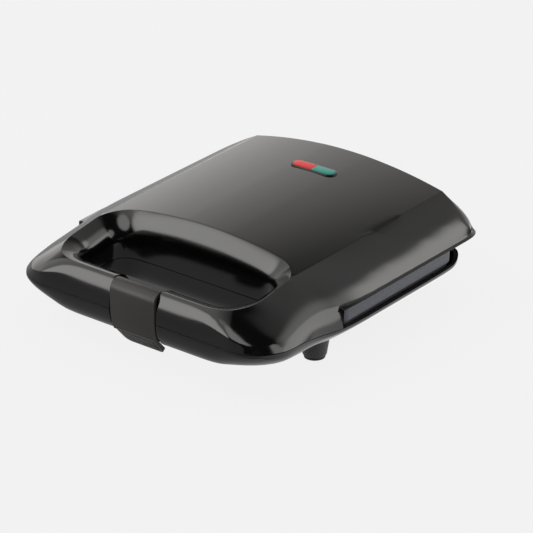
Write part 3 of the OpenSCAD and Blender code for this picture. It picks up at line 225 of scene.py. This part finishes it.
def welded(name, quads=False):
    """A copy of a CAD node's mesh, with its loose triangles joined up, and made quads where asked."""
    mesh = nodes[name].data.copy()
    if "custom_normal" in mesh.attributes:
        mesh.attributes.remove(mesh.attributes["custom_normal"])
    obj = bpy.data.objects.new(name + "_finished", mesh)
    bpy.context.scene.collection.objects.link(obj)
    only(obj)
    bpy.ops.object.mode_set(mode="EDIT")
    bpy.ops.mesh.select_all(action="SELECT")
    bpy.ops.mesh.remove_doubles(threshold=WELD_DISTANCE)
    if quads:
        angle = math.radians(60)
        bpy.ops.mesh.tris_convert_to_quads(face_threshold=angle, shape_threshold=angle)
    bpy.ops.object.mode_set(mode="OBJECT")
    return obj


def apply(obj, kind, **settings):
    modifier = obj.modifiers.new(kind, kind)
    for key, value in settings.items():
        setattr(modifier, key, value)
    only(obj)
    bpy.ops.object.modifier_apply(modifier=modifier.name)


def smooth(obj, degrees=SMOOTH_BELOW):
    only(obj)
    bpy.ops.object.shade_smooth_by_angle(angle=math.radians(degrees))


def finish_piece(obj, name):
    paint(obj, slot_of[name])
    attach(obj, body_of[name])
    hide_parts(name)


def soft_step(value, start, length):
    """0 up to the start, 1 past the length, and an even curve between."""
    share = min(1.0, max(0.0, (value - start) / length))
    return share * share * (3 - 2 * share)


# ---- The two housings ----
# Along the sides, the edge at the parting line dips below its height across the handle. The dip begins
# behind the handle's corners and ends at the rear ones.
RIM_DIP = 3.4 * MM
RIM_SIDE_X, RIM_SIDE_FADE = 85 * MM, 12 * MM
RIM_FRONT_Y, RIM_FRONT_FADE = -88 * MM, 44 * MM
RIM_REAR_Y, RIM_REAR_FADE = 74 * MM, 26 * MM


def dip_rim(bm, lowest, highest):
    """Lowers the vertices between two heights, which are those of the housing's edge."""
    for v in bm.verts:
        if lowest < v.co.z < highest:
            side = soft_step(abs(v.co.x), RIM_SIDE_X, RIM_SIDE_FADE)
            behind_handle = soft_step(v.co.y, RIM_FRONT_Y, RIM_FRONT_FADE)
            before_rear = 1 - soft_step(v.co.y, RIM_REAR_Y, RIM_REAR_FADE)
            v.co.z -= RIM_DIP * side * behind_handle * before_rear


# The lid's half of the handle bar curves back steadily from the parting line to its crest.
BAR_FOOT_Z, BAR_HEIGHT = 35.4 * MM, 21.2 * MM
BAR_FRONT_Y, BAR_SETBACK = -117.8 * MM, 7 * MM
BAR_WALL = 1.5 * MM
BAR_HALF, BAR_FADE = 50 * MM, 40 * MM
BAR_ZONE_Y = -110.8 * MM
BAR_ZONE_Z = (35.6 * MM, 56.5 * MM)


def round_bar(bm):
    for v in bm.verts:
        if v.co.y < BAR_ZONE_Y and BAR_ZONE_Z[0] < v.co.z < BAR_ZONE_Z[1]:
            rise = (v.co.z - BAR_FOOT_Z) / BAR_HEIGHT
            parabola = rise ** 2
            arc = 1 - math.sqrt(1 - rise ** 2)
            curved = BAR_FRONT_Y + BAR_SETBACK * (parabola + arc) / 2
            if v.normal.y > 0:
                curved += BAR_WALL
            v.co.y += max(0.0, curved - v.co.y) * (1 - soft_step(abs(v.co.x), BAR_HALF, BAR_FADE))


# The outside of the lid's front corners, which is one soft form from the nose to the shoulder.
CORNER_FROM_X = 84 * MM
CORNER_Y = (-100 * MM, -42.5 * MM)
CORNER_Z = (37.5 * MM, 62 * MM)
CORNER_FACING = 0.2
CORNER_PASSES = 9


def soften_corners(bm):
    outside = []
    for v in bm.verts:
        in_zone = (abs(v.co.x) > CORNER_FROM_X and CORNER_Y[0] < v.co.y < CORNER_Y[1]
                   and CORNER_Z[0] < v.co.z < CORNER_Z[1])
        faces_out = v.normal.z > CORNER_FACING or v.normal.x * v.co.x > CORNER_FACING * abs(v.co.x)
        if in_zone and faces_out:
            outside.append(v)
    for _ in range(CORNER_PASSES):
        bmesh.ops.smooth_vert(bm, verts=outside, factor=0.5, use_axis_x=True, use_axis_y=True,
                              use_axis_z=True)


# The line where the lid's top panel meets a shoulder.
CREASE_X = 81 * MM
CREASE_FROM_Y = -55 * MM
CREASE_WITHIN = 0.2 * MM
CREASE_SHORTEST = 0.1 * MM


def on_crease(edge):
    a, b = (v.co for v in edge.verts)
    both_on_line = abs(abs(a.x) - CREASE_X) < CREASE_WITHIN and abs(abs(b.x) - CREASE_X) < CREASE_WITHIN
    return both_on_line and min(a.y, b.y) > CREASE_FROM_Y and abs(a.y - b.y) > CREASE_SHORTEST


HOUSING_EDGE = 0.4 * MM
HOUSING_SHARP = 32
HOUSING_SMOOTH_BELOW = 50


def housing(name, rim_z, is_lid):
    """A housing whose sharp edges get a narrow rounding, and whose other faces are subdivided."""
    obj = welded(name, quads=True)
    bm = bmesh.new()
    bm.from_mesh(obj.data)
    dip_rim(bm, *rim_z)
    if is_lid:
        round_bar(bm)
        soften_corners(bm)
    weight = (bm.edges.layers.float.get("bevel_weight_edge")
              or bm.edges.layers.float.new("bevel_weight_edge"))
    for edge in bm.edges:
        if len(edge.link_faces) == 2:
            is_sharp = edge.calc_face_angle(0) > math.radians(HOUSING_SHARP)
            if is_sharp or (is_lid and on_crease(edge)):
                edge[weight] = 1.0
    bm.to_mesh(obj.data)
    bm.free()
    apply(obj, "BEVEL", limit_method="WEIGHT", width=HOUSING_EDGE, segments=2, profile=0.5,
          use_clamp_overlap=True, harden_normals=False)
    apply(obj, "SUBSURF", levels=1, render_levels=1)
    smooth(obj, HOUSING_SMOOTH_BELOW)
    finish_piece(obj, name)


housing("lid_shell", (34.5 * MM, 35.8 * MM), is_lid=True)
housing("base_shell", (32.8 * MM, 35.5 * MM), is_lid=False)


# ---- Smaller pieces with rounded edges ----
FLAT_WITHIN = 1


def rounded_piece(name, radius, segments, sharp=30, shape=None):
    """A piece whose flat faces are joined up, and whose edges sharper than a limit are rounded."""
    obj = welded(name)
    if shape:
        for v in obj.data.vertices:
            shape(v.co)
    only(obj)
    bpy.ops.object.mode_set(mode="EDIT")
    bpy.ops.mesh.select_all(action="SELECT")
    bpy.ops.mesh.dissolve_limited(angle_limit=math.radians(FLAT_WITHIN))
    bpy.ops.object.mode_set(mode="OBJECT")
    apply(obj, "BEVEL", limit_method="ANGLE", angle_limit=math.radians(sharp), width=radius,
          segments=segments, use_clamp_overlap=True)
    smooth(obj)
    finish_piece(obj, name)


# The radius of each piece's edges in millimetres, and the segments that each rounding is made of.
EDGES = {
    "power_lens": (0.45, 3),
    "ready_lens": (0.45, 3),
    "lens_bezel": (0.3, 2),
    "latch_catch": (0.5, 2),
    "latch_carrier": (0.4, 2),
    "feet": (0.8, 3),
    "foot_pads": (0.4, 2),
    "hinge_brackets": (0.4, 2),
    "hinge_arms": (0.4, 2),
    "hinge_pins": (0.3, 2),
    "cord_gland": (0.4, 2),
    "lower_plate": (0.9, 3),
}
# The clip's bends are as blunt as 28 degrees, and they are rounded too.
rounded_piece("latch_clip", 0.5 * MM, 3, sharp=28)
for piece_name, (radius_mm, segments) in EDGES.items():
    rounded_piece(piece_name, radius_mm * MM, segments)

# The outer edge of the upper plate reaches down past the lower plate along both sides.
PLATE_SIDE_X = 111.5 * MM
PLATE_RIM_Z = (37 * MM, 37.4 * MM)
PLATE_SIDE_DROP = 2 * MM


def deep_sides(co):
    if abs(co.x) > PLATE_SIDE_X and PLATE_RIM_Z[0] < co.z < PLATE_RIM_Z[1]:
        co.z -= PLATE_SIDE_DROP


rounded_piece("upper_plate", 0.9 * MM, 3, shape=deep_sides)


# ---- The sleeve of the wires from the base to the lid ----
SLEEVE_MIDDLE = Vector((25 * MM, 91 * MM, 38 * MM))
SLEEVE_HALF = Vector((0, 0, 8 * MM))
SLEEVE_RINGS = 24


def bending_sleeve():
    """The woven sleeve, cut in rings across its middle."""
    obj = welded("harness_sleeve")
    low, high = SLEEVE_MIDDLE - SLEEVE_HALF, SLEEVE_MIDDLE + SLEEVE_HALF
    bm = bmesh.new()
    bm.from_mesh(obj.data)
    for ring in range(1, SLEEVE_RINGS):
        bmesh.ops.bisect_plane(bm, geom=bm.verts[:] + bm.edges[:] + bm.faces[:],
                               plane_co=low.lerp(high, ring / SLEEVE_RINGS), plane_no=(0, 0, 1))
    bm.to_mesh(obj.data)
    bm.free()
    smooth(obj)
    paint(obj, slot_of["harness_sleeve"])
    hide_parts("harness_sleeve")
    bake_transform(obj)


bending_sleeve()


# ---- Stage ----
GREY = "#F2F2F2"


def ramp(tree, source, low, high, at_low, at_high):
    """A soft step of a value, from at_low where it is low to at_high where it is high."""
    step = add_node(tree, "ShaderNodeMapRange", [(source, "Value")], interpolation_type="SMOOTHSTEP",
                    From_Min=low, From_Max=high, To_Min=at_low, To_Max=at_high)
    return step.outputs["Result"]


def along(tree, source, direction):
    """How far a position or a direction reaches along another direction."""
    dot = add_node(tree, "ShaderNodeVectorMath", [(source, 0)], operation="DOT_PRODUCT")
    dot.inputs[1].default_value = Vector(direction).normalized()
    return dot.outputs["Value"]


FLOOR_SIZE = 12
FLOOR_DROP = 0.2 * MM
# How much of the floor, as the camera sees it, is an even grey. The rest takes the object's shadow.
FLOOR_EVEN = 0.94
FLOOR_GLOW = 1.015


def floor_material():
    """A pale floor with a faint shadow. Mirrored in the gloss, it is bright to the right and dim in front."""
    material, tree, out = new_material("floor")
    paths = add_node(tree, "ShaderNodeLightPath")
    place = add_node(tree, "ShaderNodeTexCoord")
    pale = add_node(tree, "ShaderNodeBsdfDiffuse", Color=linear("#D8D8D8"))
    even = add_node(tree, "ShaderNodeEmission", Color=linear(GREY), Strength=FLOOR_GLOW)
    seen = add_node(tree, "ShaderNodeMixShader", [(pale.outputs[0], 1), (even.outputs[0], 2)])
    seen.inputs["Fac"].default_value = FLOOR_EVEN
    to_the_right = along(tree, place.outputs["Object"], (0.8, 0.6, 0))
    mirrored = add_node(tree, "ShaderNodeEmission",
                        [(ramp(tree, to_the_right, -0.02, 0.16, 0.4, 1.5), "Strength")])
    plain = add_node(tree, "ShaderNodeMixShader",
                     [(paths.outputs["Is Camera Ray"], "Fac"), (pale.outputs[0], 1), (seen.outputs[0], 2)])
    mix = add_node(tree, "ShaderNodeMixShader",
                   [(paths.outputs["Is Glossy Ray"], "Fac"), (plain.outputs[0], 1), (mirrored.outputs[0], 2)])
    tree.links.new(mix.outputs[0], out.inputs["Surface"])
    return material


def floor():
    bpy.ops.mesh.primitive_plane_add(size=FLOOR_SIZE, location=(0, 0, -FLOOR_DROP))
    plane = bpy.context.object
    plane.name = "floor"
    plane.data.materials.append(floor_material())


floor()

CARD_TOWARD = Vector((-0.62, 0.78, 0.0)).normalized()
CARD_DISTANCE = 0.45
CARD_MIDDLE = Vector((0, 0, 0.35))
CARD_WIDTH, CARD_HEIGHT = 1.3, 0.7
CARD_WHITE = (1.0, 0.982, 0.955, 1)


def card_material():
    """Bright below and fading out above, except to the right, where it is a dim white all the way up."""
    material, tree, out = new_material("reflector")
    position = add_node(tree, "ShaderNodeNewGeometry").outputs["Position"]
    low = ramp(tree, along(tree, position, (0, 0, 1)), 0.12, 0.62, 1.3, 0.1)
    right = ramp(tree, along(tree, position, (0.78, 0.62, 0)), 0.24, 0.5, 0.0, 0.6)
    strength = add_node(tree, "ShaderNodeMath", [(low, 0), (right, 1)], operation="MAXIMUM")
    glow = add_node(tree, "ShaderNodeEmission", [(strength.outputs[0], "Strength")], Color=CARD_WHITE)
    tree.links.new(glow.outputs[0], out.inputs["Surface"])
    return material


def reflector():
    """A card at the back left, seen only in the gloss."""
    bpy.ops.mesh.primitive_plane_add(size=1, location=CARD_TOWARD * CARD_DISTANCE + CARD_MIDDLE)
    card = bpy.context.object
    card.name = "reflector"
    card.rotation_euler = (-CARD_TOWARD).to_track_quat("Z", "Y").to_euler()
    card.scale = (CARD_WIDTH, CARD_HEIGHT, 1)
    card.data.materials.append(card_material())
    card.visible_camera = False
    card.visible_diffuse = False
    card.visible_shadow = False
    card.visible_transmission = False


reflector()

# Soft boxes that the gloss mirrors: direction, the angles from its middle at which it begins to fade and
# ends, and strength.
BOXES = [
    ((-0.570, -0.785, 0.242), 9, 25, 4.9),
    ((-0.770, -0.280, 0.574), 20, 60, 1.7),
    ((0.125, -0.708, 0.695), 18, 26, 3.2),
    ((0.797, 0.498, 0.342), 15, 26, 3.8),
    ((0.821, 0.115, 0.559), 10, 18, 2.8),
    ((0.355, 0.727, 0.588), 2, 14, 4.0),
    ((0.510, 0.570, 0.643), 2, 18, 2.2),
    ((0.02, 0.72, 0.68), 14, 40, 0.7),
]
BETWEEN_BOXES = 0.03
BOX_WHITE = (1.0, 0.99, 0.975, 1)


def world():
    """Even light all round, and the soft boxes in mirror images."""
    studio = bpy.data.worlds.new("studio")
    bpy.context.scene.world = studio
    studio.use_nodes = True
    tree = studio.node_tree
    tree.nodes.clear()
    out = add_node(tree, "ShaderNodeOutputWorld")
    paths = add_node(tree, "ShaderNodeLightPath")
    place = add_node(tree, "ShaderNodeTexCoord")
    plain = add_node(tree, "ShaderNodeBackground", Color=linear(GREY), Strength=1.0)
    total = None
    for direction, fade_from, fade_to, strength in BOXES:
        box = ramp(tree, along(tree, place.outputs["Generated"], direction),
                   math.cos(math.radians(fade_to)), math.cos(math.radians(fade_from)), 0.0, strength)
        brighter = add_node(tree, "ShaderNodeMath", [(box, 0)], operation="MAXIMUM")
        brighter.inputs[1].default_value = BETWEEN_BOXES
        if total:
            tree.links.new(total, brighter.inputs[1])
        total = brighter.outputs[0]
    glow = add_node(tree, "ShaderNodeBackground", [(total, "Strength")], Color=BOX_WHITE)
    mix = add_node(tree, "ShaderNodeMixShader",
                   [(paths.outputs["Is Glossy Ray"], "Fac"), (plain.outputs[0], 1), (glow.outputs[0], 2)])
    tree.links.new(mix.outputs[0], out.inputs["Surface"])


world()

KEY_TOWARD = Vector((-0.56, -0.40, 0.72)).normalized()
KEY_DISTANCE = 1.3
KEY_SIDE = 0.6
KEY_WATTS = 4
OBJECT_MIDDLE = Vector((0, 0, 45 * MM))


def key_light():
    """A soft box at the upper left, facing the object. The gloss mirrors the world's boxes instead."""
    data = bpy.data.lights.new("key", "AREA")
    data.shape = "RECTANGLE"
    data.size = KEY_SIDE
    data.size_y = KEY_SIDE
    data.energy = KEY_WATTS
    light = bpy.data.objects.new("key", data)
    bpy.context.scene.collection.objects.link(light)
    light.location = OBJECT_MIDDLE + KEY_TOWARD * KEY_DISTANCE
    light.rotation_euler = (-KEY_TOWARD).to_track_quat("-Z", "Y").to_euler()
    light.visible_glossy = False


key_light()

# ---- Camera ----
CAMERA_PLACE = Vector((1.09105, -1.36455, 0.84814))
CAMERA_AIM = Vector((0.078476, -0.076878, 0.079007))
LENS_MM = 192.11
SENSOR_MM = 36
FARTHEST = 20

camera_data = bpy.data.cameras.new("camera")
camera_data.lens = LENS_MM
camera_data.sensor_width = SENSOR_MM
camera_data.clip_end = FARTHEST
camera = bpy.data.objects.new("camera", camera_data)
bpy.context.scene.collection.objects.link(camera)
camera.location = CAMERA_PLACE
camera.rotation_euler = (CAMERA_AIM - CAMERA_PLACE).to_track_quat("-Z", "Y").to_euler()
bpy.context.scene.camera = camera
bpy.context.scene.view_settings.view_transform = "Standard"
